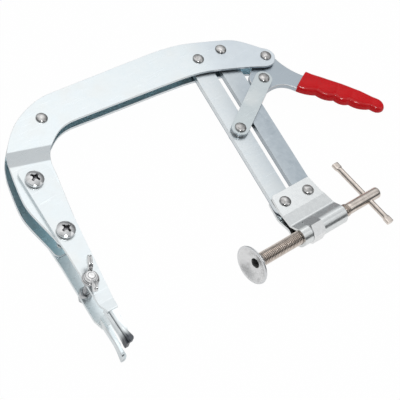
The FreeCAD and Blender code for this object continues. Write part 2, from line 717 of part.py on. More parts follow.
def build():
    """Make and write every node."""
    os.makedirs("parts", exist_ok=True)
    plate = frame_plate()
    save(plate, "frame_plate_front")
    save(mirrored(plate), "frame_plate_back")
    save(ring(CORNER_RIVET[0], CORNER_RIVET[1], SPACER_R, PIN_R, -PLATE_GAP, PLATE_GAP), "corner_spacer")
    pivots = (CORNER_RIVET, ARM_PIVOT, GUIDE_PIVOT, LEVER_PIVOT)
    save(group([rivet(p, PLATE_OUT) for p in pivots]), "frame_rivets")

    half = ARM_T / 2 + SIDE_PLAY
    washers = []
    for p in pivots[1:]:
        washers.append(ring(p[0], p[1], WASHER_R, PIN_R, half, PLATE_GAP))
        washers.append(ring(p[0], p[1], WASHER_R, PIN_R, -PLATE_GAP, -half))
    save(group(washers), "pivot_washers")

    strip = jaw_strip()
    save(strip, "jaw_strip_front")
    save(mirrored(strip), "jaw_strip_back")
    front_screws = [jaw_screw(p) for p in SCREWS]
    save(group(front_screws + [mirrored(s) for s in front_screws]), "jaw_screws")
    save(jaw_bolt(), "jaw_bolt")
    save(bolt_nut(), "bolt_nut")
    save(ring(BOLT_AT[0], BOLT_AT[1], BOSS_R + 0.8, BOLT_R + RUN_FIT, STRIP_OUT, STRIP_OUT + CLAMP_WASHER_T),
         "clamp_washer")
    save(wing_nut(), "wing_nut")

    save(swing_arm(ARM_PIVOT, FOOT_PIN, ARM_W, (ARM_PIVOT, FOOT_PIN, LINK_FOOT)), "main_arm")
    save(swing_arm(GUIDE_PIVOT, GUIDE_FOOT_PIN, GUIDE_W, (GUIDE_PIVOT, GUIDE_FOOT_PIN)), "guide_arm")

    link = toggle_link()
    save(link, "link_front")
    save(mirrored(link), "link_back")
    save(group([rivet(p, LINK_IN + PLATE_T) for p in (LINK_FOOT, LINK_PIVOT)]), "link_rivets")
    spacers = []
    for p in (LINK_FOOT, LINK_PIVOT):
        spacers.append(ring(p[0], p[1], WASHER_R, PIN_R, half, LINK_IN))
        spacers.append(ring(p[0], p[1], WASHER_R, PIN_R, -LINK_IN, -half))
    save(group(spacers), "link_washers")

    lever_plate = lever()
    save(lever_plate, "lever")
    save(grip(lever_plate), "grip")

    save(bracket(), "screw_bracket")
    save(group([rivet(p, FLANGE_OUT) for p in (FOOT_PIN, GUIDE_FOOT_PIN)]),
         "bracket_rivets")
    save(captive_nut(), "captive_nut")
    save(spindle(), "spindle")
    save(pad(), "pad")
    save(t_bar(), "t_bar")


build()
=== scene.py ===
"""Looks of the valve spring compressor: plated sheet, polished rivets, rolled thread and dipped grip.

Metres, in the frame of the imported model: X along the spindle, Y up to the frame, Z out of the front plate.
The sizes that the pieces' classes hold are in millimetres.
"""

import json
import logging
from dataclasses import dataclass, field
from enum import Enum
from functools import partialmethod
from math import copysign, cos, exp, pi, radians, sin

import bmesh
import bpy
import numpy as np
from mathutils import Matrix, Vector

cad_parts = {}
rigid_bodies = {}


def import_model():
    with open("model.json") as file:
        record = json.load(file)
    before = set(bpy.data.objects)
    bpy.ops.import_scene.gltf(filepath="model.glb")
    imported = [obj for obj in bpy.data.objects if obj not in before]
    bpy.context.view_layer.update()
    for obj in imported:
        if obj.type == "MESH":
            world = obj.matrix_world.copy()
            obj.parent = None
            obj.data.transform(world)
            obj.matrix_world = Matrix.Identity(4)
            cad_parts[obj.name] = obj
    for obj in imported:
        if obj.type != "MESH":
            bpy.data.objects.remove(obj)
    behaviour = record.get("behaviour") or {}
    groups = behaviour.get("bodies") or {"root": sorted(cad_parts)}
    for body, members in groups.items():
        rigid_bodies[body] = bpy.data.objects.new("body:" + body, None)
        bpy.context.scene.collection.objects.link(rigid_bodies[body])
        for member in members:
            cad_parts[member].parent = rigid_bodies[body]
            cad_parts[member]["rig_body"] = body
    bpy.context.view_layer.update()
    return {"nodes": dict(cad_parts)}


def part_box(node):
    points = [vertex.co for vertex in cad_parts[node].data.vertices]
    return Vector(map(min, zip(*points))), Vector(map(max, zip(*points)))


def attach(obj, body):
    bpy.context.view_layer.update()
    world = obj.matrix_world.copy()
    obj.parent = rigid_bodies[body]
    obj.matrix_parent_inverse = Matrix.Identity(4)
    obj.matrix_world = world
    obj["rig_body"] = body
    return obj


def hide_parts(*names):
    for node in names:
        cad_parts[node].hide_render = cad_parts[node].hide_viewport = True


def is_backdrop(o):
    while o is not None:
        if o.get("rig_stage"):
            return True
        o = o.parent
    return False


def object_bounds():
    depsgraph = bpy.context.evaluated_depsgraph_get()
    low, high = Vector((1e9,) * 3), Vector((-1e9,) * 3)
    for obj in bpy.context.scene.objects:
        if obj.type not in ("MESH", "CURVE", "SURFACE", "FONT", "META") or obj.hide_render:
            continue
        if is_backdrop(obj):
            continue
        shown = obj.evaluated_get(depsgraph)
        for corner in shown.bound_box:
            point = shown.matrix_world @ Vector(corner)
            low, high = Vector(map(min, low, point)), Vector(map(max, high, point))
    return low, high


LOG = logging.getLogger("compressor")
MM = 0.001

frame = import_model()

Triple = tuple[float, float, float]
Colour = Triple
Profile = list[tuple[float, float]]
Array = np.ndarray
Material = bpy.types.Material
Object = bpy.types.Object

WHITE: Colour = (1.0, 1.0, 1.0)
ORIGIN = Vector((0.0, 0.0, 0.0))
WELD = 1e-6
FLAT = radians(0.6)
SHARP_DEG = 28.0
FACE_WEIGHT = 80


class Axis(Enum):
    """The direction that a turned piece is turned about."""

    X = 0
    Z = 2

    def rows(self, radius: Array, along: Array, angle: Array) -> Array:
        """Points round the axis, as (row, column, 3)."""
        u, v, w = radius * np.cos(angle), radius * np.sin(angle), along + 0.0 * angle
        return np.stack((w, u, v) if self is Axis.X else (u, v, w), -1)


@dataclass
class Signal:
    """A socket of a material's nodes, which adds Math nodes when it is used in an expression."""

    paint: "Paint"
    socket: bpy.types.NodeSocket

    def _with(self, operation: str, other: "Signal | float") -> "Signal":
        """A Math node on self and another value."""
        return self.paint.add("Math", {0: self, 1: other}, operation=operation)

    def __rsub__(self, other: float) -> "Signal":
        """other - self."""
        return self.paint.add("Math", {0: other, 1: self}, operation="SUBTRACT")

    __add__ = __radd__ = partialmethod(_with, "ADD")
    __sub__ = partialmethod(_with, "SUBTRACT")
    __mul__ = __rmul__ = partialmethod(_with, "MULTIPLY")
    power = partialmethod(_with, "POWER")

    def between(self, low: float, high: float) -> "Signal":
        """A smooth rise from 0 at low to 1 at high."""
        span = {"Value": self, "From Min": low, "From Max": high}
        return self.paint.add("MapRange", span, interpolation_type="SMOOTHSTEP")

    def between_mm(self, low: float, high: float) -> "Signal":
        """The same rise between two lengths in millimetres, for a signal in metres."""
        return self.between(low * MM, high * MM)


@dataclass
class Paint:
    """One material, or the room round the object, and the calls that add its nodes."""

    owner: Material | bpy.types.World

    def __post_init__(self) -> None:
        """Starts with no nodes."""
        self.owner.use_nodes = True
        self.tree = self.owner.node_tree
        self.tree.nodes.clear()

    @classmethod
    def named(cls, name: str) -> "Paint":
        """Starts a new material of one name."""
        return cls(bpy.data.materials.new(name))

    def add(self, kind: str, inputs: dict, out: str | int = 0, **settings: object) -> Signal | None:
        """Adds any node.

        Args:
            kind: the node's type, without the ShaderNode that starts its name.
            inputs: values or signals for its sockets, by name or number.
            out: the output that is wanted.
            settings: its properties, set first; stops fills a colour ramp.

        Returns:
            That output, or nothing where the node has none.
        """
        node = self.tree.nodes.new("ShaderNode" + kind)
        for key, value in settings.items():
            if key == "stops":
                self._stops(node.color_ramp, value)
            else:
                setattr(node, key, value)
        for key, value in inputs.items():
            socket = node.inputs[key]
            if isinstance(value, Signal):
                self.tree.links.new(value.socket, socket)
            elif socket.type == "RGBA":
                socket.default_value = (*value, 1.0)
            else:
                socket.default_value = value
        return Signal(self, node.outputs[out]) if node.outputs else None

    @staticmethod
    def _stops(ramp: bpy.types.ColorRamp, stops: list[tuple[float, Colour]]) -> None:
        """Fills a colour ramp with its stops."""
        while len(ramp.elements) < len(stops):
            ramp.elements.new(0.5)
        for element, (place, colour) in zip(ramp.elements, stops):
            element.position = place
            element.color = (*colour, 1.0)

    def mix(self, low: "Signal | Colour", high: "Signal | Colour", share: "Signal | float") -> Signal:
        """Mixes two colours, from the low one at share 0 to the high one at share 1."""
        return self.add("Mix", {0: share, 6: low, 7: high}, 2, data_type="RGBA")

    def part(self, vector: Signal, axis: str) -> Signal:
        """One coordinate of a vector, by its letter."""
        return self.add("SeparateXYZ", {0: vector}, axis)

    def facing(self, normal: str = "True Normal") -> Signal:
        """How far the surface faces Z, by its flat faces or by its smooth Normal."""
        return self.part(self.add("NewGeometry", {}, normal), "Z")

    def off_axis(self) -> Signal:
        """Distance from the spindle's axis, in metres."""
        flat = self.add("VectorMath", {0: self.place(), 1: (0.0, 1.0, 1.0)}, operation="MULTIPLY")
        return self.add("VectorMath", {0: flat}, "Value", operation="LENGTH")

    def place(self, stretch: Triple = (1.0, 1.0, 1.0), turn: float = 0.0) -> Signal:
        """The point on the object, stretched along each axis and turned about Z by degrees."""
        point = self.add("TexCoord", {}, "Object")
        return self.add("Mapping", {"Vector": point, "Rotation": (0.0, 0.0, radians(turn)), "Scale": stretch})

    def noise(self, size_mm: float, point: Signal, detail: float, roughness: float = 0.5) -> Signal:
        """Cloudy noise from 0 to 1, in patches of about one width, with finer layers of some strength."""
        return self.add("TexNoise", {
            "Vector": point, "Scale": 1.0 / (size_mm * MM), "Detail": detail, "Roughness": roughness})

    def bump(self, height: Signal, depth_mm: float, strength: float) -> Signal:
        """A surface relief of a real depth in millimetres."""
        return self.add("Bump", {"Height": height, "Distance": depth_mm * MM, "Strength": strength}, "Normal")

    def finish(self, sockets: dict) -> Material:
        """Ends the material in one Principled shader with these sockets."""
        self.add("OutputMaterial", {"Surface": self.add("BsdfPrincipled", sockets)})
        return self.owner

    def metal(self, base: Signal, rough: Signal, relief: Signal, depth_mm: float,
              strength: float = 0.5) -> Material:
        """Ends the material as bare metal, with a fine relief of some depth."""
        return self.finish({"Base Color": base, "Metallic": 1.0, "Roughness": rough,
                            "Normal": self.bump(relief, depth_mm, strength)})


def darker(colour: Colour, share: float) -> Colour:
    """A colour with each channel at a share of its value."""
    return tuple(share * channel for channel in colour)


@dataclass(frozen=True)
class ZincPlate:
    """Bright zinc on rolled steel: pale, slightly blue, with spangle, rolling grain and hair scratches.

    Names that end in _mm are places or widths in millimetres. A place that is None leaves its effect out.
    """

    name: str
    light: Colour = (0.855, 0.905, 0.92)
    shade: Colour = (0.79, 0.85, 0.875)
    warm: Colour = (0.84, 0.85, 0.83)
    roughness: float = 0.33
    grain_turn: float = 0.0
    cloud_mm: float = 9.0
    # Darker grey, painted as shade on faces that a joggle tilts.
    tilt_shade: Colour | None = None
    # The darker colour towards the spindle's head.
    darker_end: Colour = (0.45, 0.51, 0.56)
    darker_from_mm: float | None = None
    darker_over_mm: float = 45.0
    lighter_from_mm: float | None = None
    lighter_over_mm: float = 70.0
    # Near-black for dark streaks along the fingers and the painted shade on the front finger's foot.
    tip: Colour = (0.055, 0.06, 0.07)
    polish_below_mm: float | None = None
    # A darker blue-green, painted as shade on the back sheet's inner face.
    inner_shade: Colour = (0.62, 0.86, 0.93)
    inner_shade_share: float = 0.0
    # Dark blue-grey, painted as shade along thin bands at the lower rims of the cut sides.
    rim_shade: Colour = (0.20, 0.24, 0.30)
    shaded_rims_mm: tuple[float, ...] = ()

    def material(self) -> Material:
        """Builds the plated finish.

        Returns:
            Its material.
        """
        paint = Paint.named(self.name)
        point = paint.place()
        cloud = paint.noise(self.cloud_mm, point, 4.0, 0.62)
        speck = paint.noise(0.9, point, 3.0, 0.6)
        tint = paint.noise(34.0, point, 2.0)
        grain = paint.noise(0.35, paint.place((0.05, 1.0, 1.0), self.grain_turn), 2.0)
        scratch = paint.noise(1.1, paint.place((0.03, 1.0, 1.0), self.grain_turn + 37.0), 1.0)
        hair = scratch.between(0.66, 0.70)
        base = paint.mix(self.shade, self.light, (cloud * 0.7 + speck * 0.3).between(0.32, 0.62))
        base = paint.mix(base, self.warm, tint.between(0.52, 0.72) * 0.45)
        rough = self.roughness + (cloud - 0.5) * 0.16 + (grain - 0.5) * 0.10 - hair * 0.06
        if self.tilt_shade is not None:
            # Painted shade: faces that a joggle tilts are mixed towards a darker grey.
            base = paint.mix(base, self.tilt_shade, self._tilted(paint) * 0.6)
        if self.darker_from_mm is not None:
            # Darker towards the spindle's head, less so high up near the frame, mottled by the clouds.
            base = paint.mix(base, self.darker_end, self._towards_head(paint, point) * (0.55 + cloud * 0.55))
        if self.polish_below_mm is not None:
            bright = self._polished(paint, point)
            rough = rough - bright * 0.19
            streak = paint.noise(3.4, paint.place((1.0, 0.12, 1.0)), 1.0).between(0.45, 0.60)
            # Painted shade: the front finger's foot, and a little of the back one's, goes near-black; dark
            # streaks run along the polished fingers.
            base = paint.mix(base, self.tip, bright * (streak * 0.22 + self._foot_shade(paint, point)))
        if self.inner_shade_share > 0.0:
            # Painted shade: the back sheet's inner face, between the sheets, goes darker blue-green.
            base = paint.mix(base, self.inner_shade, self._inner_shade(paint, point) * self.inner_shade_share)
        if self.shaded_rims_mm:
            # Painted shade: a dark line along the lower rims of the sheets' cut sides.
            base = paint.mix(base, self.rim_shade, self._rim_shade(paint, point) * 0.9)
        return paint.metal(base, rough, grain * 0.35 + speck * 0.4 - hair * 0.5, 0.012, 0.55)

    @staticmethod
    def _tilted(paint: Paint) -> Signal:
        """1 on faces that a joggle tilts a little away from level, which take painted shade."""
        level = paint.facing()
        return (1.0 - level.between(0.9905, 0.998)) * level.between(0.8, 0.9)

    def _towards_head(self, paint: Paint, point: Signal) -> Signal:
        """1 towards the spindle's head, and less high up near the frame.

        Args:
            paint: the material.
            point: where on the object.

        Returns:
            A value from 0 to 1.
        """
        across = paint.part(point, "X") * 0.974 - paint.part(point, "Y") * 0.227
        darkening = across.between_mm(self.darker_from_mm, self.darker_from_mm + self.darker_over_mm)
        if self.lighter_from_mm is None:
            return darkening
        high = paint.part(point, "Y").between_mm(self.lighter_from_mm, self.lighter_from_mm + self.lighter_over_mm)
        return darkening * (1.0 - high * 0.7)

    def _polished(self, paint: Paint, point: Signal) -> Signal:
        """1 on the jaw's fingers, which are polished by use."""
        return 1.0 - paint.part(point, "Y").between_mm(self.polish_below_mm - 4.0, self.polish_below_mm)

    @staticmethod
    def _foot_shade(paint: Paint, point: Signal) -> Signal:
        """1 on the front finger's foot, which is painted near-black as shade, and a little on the back one's.
        """
        low = 1.0 - paint.part(point, "Y").between_mm(-5.0, 4.0)
        return low * (0.10 + paint.part(point, "Z").between_mm(0.0, 2.0) * 0.85)

    @staticmethod
    def _inner_shade(paint: Paint, point: Signal) -> Signal:
        """1 on the inner face of the back plate or strip, which takes painted shade."""
        return paint.facing().between(0.3, 0.6) * (1.0 - paint.part(point, "Z").between_mm(-2.0, -0.5))

    def _rim_shade(self, paint: Paint, point: Signal) -> Signal:
        """1 along thin bands at the lower rims of the cut sides, where painted shade goes."""
        height, lean = paint.part(point, "Z"), paint.facing()
        return (1.0 - (lean * lean).between(0.2, 0.6)) * sum(
            height.between_mm(rim - 0.3, rim - 0.1) * (1.0 - height.between_mm(rim + 0.45, rim + 0.95))
            for rim in self.shaded_rims_mm)


@dataclass(frozen=True)
class SawnEdge:
    """The sheared edge of plated sheet: brighter, with fine lines across the thickness."""

    name: str
    colour: Colour = (0.84, 0.85, 0.86)

    def material(self) -> Material:
        """Builds the edge finish.

        Returns:
            Its material.
        """
        paint = Paint.named(self.name)
        line = paint.noise(0.5, paint.place((1.0, 1.0, 0.08)), 2.0)
        cloud = paint.noise(3.0, paint.place(), 2.0)
        base = paint.mix(darker(self.colour, 0.86), self.colour, cloud)
        return paint.metal(base, 0.26 + line * 0.16, line, 0.02)


@dataclass(frozen=True)
class PolishedSteel:
    """Polished plated steel of rivet heads and screws, with smears and handling marks."""

    name: str
    colour: Colour = (0.66, 0.65, 0.64)
    roughness: float = 0.10
    stain: float = 0.60

    def material(self) -> Material:
        """Builds the polished finish.

        Returns:
            Its material.
        """
        paint = Paint.named(self.name)
        point = paint.place()
        mark = paint.noise(0.6, point, 3.0, 0.6)
        smear = paint.noise(3.6, point, 1.0)
        base = paint.mix(darker(self.colour, self.stain), self.colour, smear.between(0.36, 0.62))
        return paint.metal(base, self.roughness + mark.between(0.5, 0.75) * 0.10, mark, 0.003, 0.4)


@dataclass(frozen=True)
class WarmNickel:
    """Warm nickel on turned bar, with draw lines along it, darker towards the thread's roots."""

    name: str
    colour: Colour = (0.80, 0.72, 0.655)
    root_dark: Colour = (0.13, 0.095, 0.075)
    root_mm: float = 0.0
    crest_mm: float = 0.0

    def material(self) -> Material:
        """Builds the nickel finish.

        Returns:
            Its material.
        """
        paint = Paint.named(self.name)
        line = paint.noise(0.45, paint.place((0.04, 1.0, 1.0)), 2.0)
        cloud = paint.noise(4.0, paint.place(), 3.0)
        base = paint.mix(darker(self.colour, 0.8), self.colour, cloud.between(0.3, 0.65))
        rough = 0.07 + line * 0.10
        if self.crest_mm > 0.0:
            depth = 1.0 - paint.off_axis().between_mm(self.root_mm, self.crest_mm)
            # Darker and rougher towards the thread's roots.
            base = paint.mix(base, self.root_dark, depth.power(1.6) * 0.85)
            rough = rough + depth * 0.25
        return paint.metal(base, rough, line, 0.01)


@dataclass(frozen=True)
class SpunDish:
    """Satin plated cup, spun rings about the spindle's axis, with painted shade round the hole in its middle.
    """

    name: str
    colour: Colour = (0.87, 0.87, 0.87)
    # Near-black, painted as shade round the hole and down its wall.
    hole: Colour = (0.012, 0.012, 0.012)
    rings_per_m: float = 2600.0

    def material(self) -> Material:
        """Builds the satin finish.

        Returns:
            Its material.
        """
        paint = Paint.named(self.name)
        radius = paint.off_axis()
        ring = paint.add("TexNoise", {"W": radius, "Scale": self.rings_per_m}, noise_dimensions="1D")
        stain = paint.noise(5.0, paint.place(), 3.0).between(0.48, 0.70)
        base = paint.mix(self.colour, darker(self.colour, 0.78), stain * 0.6)
        # Painted shade: near-black round the hole and down its wall.
        base = paint.mix(base, self.hole, 1.0 - radius.between_mm(4.1, 5.0))
        return paint.metal(base, 0.36 + ring * 0.10 + stain * 0.08, ring, 0.006)


@dataclass(frozen=True)
class ShadedBall:
    """The ball at the spindle's end, painted near-black as the shade of the pad's hole that it sits in."""

    name: str
    shade_black: Colour = (0.010, 0.010, 0.011)
    shade_grey: Colour = (0.05, 0.05, 0.052)

    def material(self) -> Material:
        """Builds the oiled finish.

        Returns:
            Its material.
        """
        paint = Paint.named(self.name)
        mark = paint.noise(0.8, paint.place(), 3.0)
        # Painted shade: near-black, mottled a little.
        base = paint.mix(self.shade_black, self.shade_grey, mark.between(0.4, 0.8))
        return paint.finish({"Base Color": base, "Metallic": 0.6, "Roughness": 0.30 + mark * 0.2,
                             "Normal": paint.bump(mark, 0.02, 0.5)})


@dataclass(frozen=True)
class DippedVinyl:
    """Red dipped grip: soft orange peel, with a clear gloss on the slopes between its cheeks and edges."""

    name: str
    colour: Colour = (0.76, 0.004, 0.009)
    deep: Colour = (0.63, 0.002, 0.006)

    def material(self) -> Material:
        """Builds the vinyl finish.

        Returns:
            Its material.
        """
        paint = Paint.named(self.name)
        point = paint.place()
        peel = paint.noise(1.6, point, 2.0)
        rub = paint.noise(14.0, point, 3.0)
        base = paint.mix(self.colour, self.deep, rub.between(0.4, 0.75) * 0.6)
        facing = paint.facing("Normal")
        slope = (1.0 - facing.between(0.84, 0.97)) * facing.between(0.30, 0.60)
        return paint.finish({"Base Color": base, "Specular IOR Level": 0.22, "IOR": 1.45,
                             "Coat Weight": slope, "Coat Roughness": 0.09,
                             "Roughness": 0.17 + rub.between(0.5, 0.8) * 0.12,
                             "Normal": paint.bump(peel, 0.05, 0.35)})


def circle(steps: int) -> Array:
    """Evenly spaced angles once round a circle."""
    return np.linspace(0.0, 2.0 * pi, steps, endpoint=False)


def rounded(wave: Array, power: float) -> Array:
    """A sine or cosine raised to a power with its sign kept, which squares or sharpens a circle's corners."""
    return np.sign(wave) * np.abs(wave) ** power


def turned(x: Array, y: Array, angle: float) -> tuple[Array, Array]:
    """Points turned about Z by an angle in radians."""
    return x * cos(angle) - y * sin(angle), x * sin(angle) + y * cos(angle)


def footprint(low: Vector, high: Vector) -> Vector:
    """The centre of a box as seen along Z, at height 0."""
    return Vector(((low.x + high.x) / 2, (low.y + high.y) / 2, 0.0))


def linked(name: str, data: bpy.types.ID) -> Object:
    """Puts a new object in the scene.

    Args:
        name: the object's name.
        data: its mesh, lamp or camera.

    Returns:
        The object.
    """
    obj = bpy.data.objects.new(name, data)
    bpy.context.scene.collection.objects.link(obj)
    return obj


@dataclass
class Shell:
    """Collects points and faces for one mesh piece."""

    points: list[Triple] = field(default_factory=list)
    faces: list[tuple[int, ...]] = field(default_factory=list)
    slots: list[int] = field(default_factory=list)

    def sheet(self, rows: Array, wrap: bool = True, slot: int = 0) -> None:
        """Adds a skin over a grid of points.

        Args:
            rows: points as (row, column, 3), in metres.
            wrap: whether the columns close on themselves.
            slot: material slot of the skin.
        """
        start, around = len(self.points), rows.shape[1]
        self.points += [tuple(p) for p in rows.reshape(-1, 3)]
        for row in range(start, len(self.points) - around, around):
            for j in range(around if wrap else around - 1):
                a, b = row + j, row + (j + 1) % around
                self.faces.append((a, b, b + around, a + around))
                self.slots.append(slot)

    def turn(self, profile: Profile, centre: Vector, axis: Axis, steps: int, slot: int = 0,
             out: float = 1.0) -> None:
        """Adds a turned skin.

        Args:
            profile: (radius, height) points in millimetres.
            centre: the place of radius 0, height 0, in metres.
            axis: what the piece is turned about.
            steps: segments round the piece.
            slot: material slot of the skin.
            out: 1 along the axis, -1 against it.
        """
        radius, height = (np.array(column)[:, None] for column in zip(*profile))
        rows = axis.rows(radius, height * out, circle(steps))
        self.sheet(rows * MM + np.array(centre), True, slot)

    def piece(self, name: str, materials: list[Material], sharp_deg: float = 35.0) -> Object:
        """Makes the mesh object.

        Args:
            name: the piece's name.
            materials: its finishes, by slot.
            sharp_deg: edges that turn more than this stay sharp.

        Returns:
            The object, joined where its points meet.
        """
        mesh = bpy.data.meshes.new(name)
        mesh.from_pydata(self.points, [], self.faces)
        mesh.polygons.foreach_set("material_index", self.slots)
        obj = linked(name, mesh)
        solid = welded(mesh)
        bmesh.ops.recalc_face_normals(solid, faces=solid.faces)
        solid.to_mesh(mesh)
        solid.free()
        smooth(obj, materials, sharp_deg)
        return obj


def welded(mesh: bpy.types.Mesh) -> bmesh.types.BMesh:
    """An editable copy of a mesh.

    Args:
        mesh: the mesh, which stays as it is.

    Returns:
        The copy, joined where its points meet.
    """
    solid = bmesh.new()
    solid.from_mesh(mesh)
    bmesh.ops.remove_doubles(solid, verts=solid.verts, dist=WELD)
    return solid


def smooth(obj: Object, materials: list[Material], sharp_deg: float) -> None:
    """Gives a piece its finishes and smooth shading.

    Args:
        obj: the piece.
        materials: its finishes, by slot.
        sharp_deg: edges that turn more than this stay sharp.
    """
    slots = [face.material_index for face in obj.data.polygons]
    obj.data.materials.clear()
    for material in materials:
        obj.data.materials.append(material)
    obj.data.polygons.foreach_set("material_index", slots)
    obj.data.polygons.foreach_set("use_smooth", [True] * len(obj.data.polygons))
    obj.data.set_sharp_from_angle(angle=radians(sharp_deg))


def islands(node: str) -> list[tuple[Vector, Vector]]:
    """The box of each separate solid in a node.

    Args:
        node: the node's name.

    Returns:
        The (lowest, highest) corners of each solid.
    """
    solid = welded(frame["nodes"][node].data)
    left = set(solid.verts)
    boxes = []
    while left:
        seen = [left.pop()]
        for vert in seen:
            near = {other for edge in vert.link_edges for other in edge.verts} & left
            left -= near
            seen += near
        low, high = (Vector([end(v.co[i] for v in seen) for i in range(3)]) for end in (min, max))
        boxes.append((low, high))
    solid.free()
    return sorted(boxes, key=lambda pair: tuple(pair[0] + pair[1]))


def stand_for(piece: Object, node: str) -> Object:
    """Puts a piece in a node's place, on its body.

    Args:
        piece: the new piece.
        node: the node that it stands for.

    Returns:
        The piece.
    """
    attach(piece, frame["nodes"][node]["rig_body"])
    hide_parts(node)
    LOG.info("%s stands for %s with %d faces", piece.name, node, len(piece.data.polygons))
    return piece


def eased(node: str, face: Material, edge: Material, ease_mm: float,
          turn_deg: float = 40.0) -> Object:
    """A sheet node with its cut edges eased, as pressed and barrelled sheet has them.

    Args:
        node: the node's name.
        face: finish of the sheet's faces.
        edge: finish of the eased edges.
        ease_mm: width of the easing.
        turn_deg: edges that turn more than this are eased.

    Returns:
        The piece.
    """
    mesh = frame["nodes"][node].data.copy()
    solid = welded(mesh)
    bmesh.ops.dissolve_limit(solid, angle_limit=FLAT, verts=solid.verts, edges=solid.edges)
    solid.to_mesh(mesh)
    solid.free()
    piece = linked(node + "_finished", mesh)
    mesh.materials.clear()
    mesh.materials.append(face)
    mesh.materials.append(edge)
    mesh.polygons.foreach_set("material_index", [0] * len(mesh.polygons))
    bevel = piece.modifiers.new("ease", "BEVEL")
    bevel.width = ease_mm * MM
    bevel.segments = 3
    bevel.limit_method = "ANGLE"
    bevel.angle_limit = radians(turn_deg)
    bevel.material = 1
    bevel.use_clamp_overlap = True
    bpy.context.view_layer.update()
    shaped = piece.evaluated_get(bpy.context.evaluated_depsgraph_get())
    piece.data = bpy.data.meshes.new_from_object(shaped)
    piece.modifiers.clear()
    smooth(piece, [face, edge], SHARP_DEG)
    weighted = piece.modifiers.new("faces", "WEIGHTED_NORMAL")
    weighted.keep_sharp = True
    weighted.weight = FACE_WEIGHT
    return stand_for(piece, node)


@dataclass
class Rivets:
    """Domed rivet heads on both ends of plain shanks."""

    head_r: float = 5.3
    head_h: float = 2.5
    rim_h: float = 0.5
    ease_w: float = 0.1
    ease_h: float = 0.12
    fullness: float = 0.92
    shank_r: float = 4.0

    def head(self) -> Profile:
        """The dome's profile from its seat to its top."""
        dome = [(self.head_r * cos(t) ** self.fullness, self.rim_h + (self.head_h - self.rim_h) * sin(t))
                for t in np.linspace(0.0, pi / 2, 15)]
        return [(self.shank_r, 0.0), (self.head_r - self.ease_w, 0.0), (self.head_r, self.ease_h), *dome]

    def build(self, node: str, steel: Material) -> None:
        """Builds the rivets of one node.

        Args:
            node: the node's name.
            steel: the finish.
        """
        shell = Shell()
        for low, high in islands(node):
            centre = footprint(low, high)
            seat = high.z - self.head_h * MM
            for out in (1.0, -1.0):
                shell.turn(self.head(), centre + Vector((0, 0, out * seat)), Axis.Z, 56, out=out)
            shell.turn([(self.shank_r, -seat / MM), (self.shank_r, seat / MM)], centre, Axis.Z, 32)
        stand_for(shell.piece(node + "_domed", [steel]), node)


@dataclass
class PanScrews:
    """Pan heads with cross recesses."""

    head_r: float = 7.85
    head_h: float = 5.0
    drop: float = 0.44
    drop_power: float = 2.1
    arm: float = 4.6
    arm_slope: float = 1.7
    half_w: float = 0.95
    wall_slope: float = 0.35
    centre_r: float = 2.1
    centre_slope: float = 0.5
    deep: float = 3.2
    shade_from: float = 0.35
    bulge: float = 0.06
    bulge_down: float = 0.5
    foot_ease: float = 0.3
    shank_r: float = 4.0
    shank_l: float = 5.4
    turns_deg: tuple[float, ...] = (38.0, 12.0, 61.0, 25.0)
    rings: int = 52
    around: int = 144

    def dome(self, r: Array | float) -> Array:
        """Height of the head without its recess, at a distance from its axis."""
        return self.head_h * (1.0 - self.drop * np.clip(r / self.head_r, 0.0, 1.0) ** self.drop_power)

    def height(self, x: Array, y: Array) -> Array:
        """Height of the head above its seat.

        Args:
            x: distance from the centre along one arm of the cross, in millimetres.
            y: distance along the other arm.

        Returns:
            The height in millimetres.
        """
        r = np.hypot(x, y)
        sunk = np.clip((self.centre_r - r) / self.centre_slope + 0.5, 0.0, 1.0)
        for along, across in ((x, y), (y, x)):
            width = np.clip((self.half_w - np.abs(across)) / self.wall_slope + 0.5, 0.0, 1.0)
            reach = np.clip((self.arm - np.abs(along)) / self.arm_slope, 0.0, 1.0)
            sunk = np.maximum(sunk, width * reach)
        return self.dome(r) - self.deep * sunk

    def side(self) -> Profile:
        """The profile from the dome's edge round the head's foot to the shank's end."""
        edge, end_r = float(self.dome(self.head_r)), 0.8 * self.shank_r
        return [(self.head_r, edge), (self.head_r + self.bulge, edge - self.bulge_down),
                (self.head_r, self.foot_ease), (self.head_r - self.foot_ease, 0.0), (self.shank_r, 0.0),
                (self.shank_r, 0.5 - self.shank_l), (end_r, -self.shank_l), (0.0, -self.shank_l)]

    def build(self, steel: Material, dark: Material) -> None:
        """Builds all four heads and their shanks.

        Args:
            steel: finish of the heads.
            dark: darker steel on the recess's deeper faces, painted as shade.
        """
        shell = Shell()
        radius = np.linspace(0.0, self.head_r, self.rings)[:, None]
        angle = circle(self.around)
        x, y = radius * np.cos(angle), radius * np.sin(angle)
        z = self.height(x, y)
        depth = self.dome(radius) - z
        # Painted shade: faces deeper than a share of the recess take the darker steel.
        shaded_faces = (depth[:-1] + depth[1:]) / 2.0 > self.shade_from * self.deep
        for (low, high), turn_deg in zip(islands("jaw_screws"), self.turns_deg):
            out = 1.0 if high.z > 0 else -1.0
            seat = footprint(low, high)
            seat.z = (high.z if out > 0 else low.z) - out * self.head_h * MM
            first = len(shell.faces)
            shell.sheet(np.stack([*turned(x, y, radians(turn_deg)), out * z], -1) * MM + np.array(seat))
            shell.slots[first:] = [int(flag) for flag in shaded_faces.reshape(-1)]
            shell.turn(self.side(), seat, Axis.Z, self.around, out=out)
        stand_for(shell.piece("jaw_screws_pan_heads", [steel, dark], 50.0), "jaw_screws")


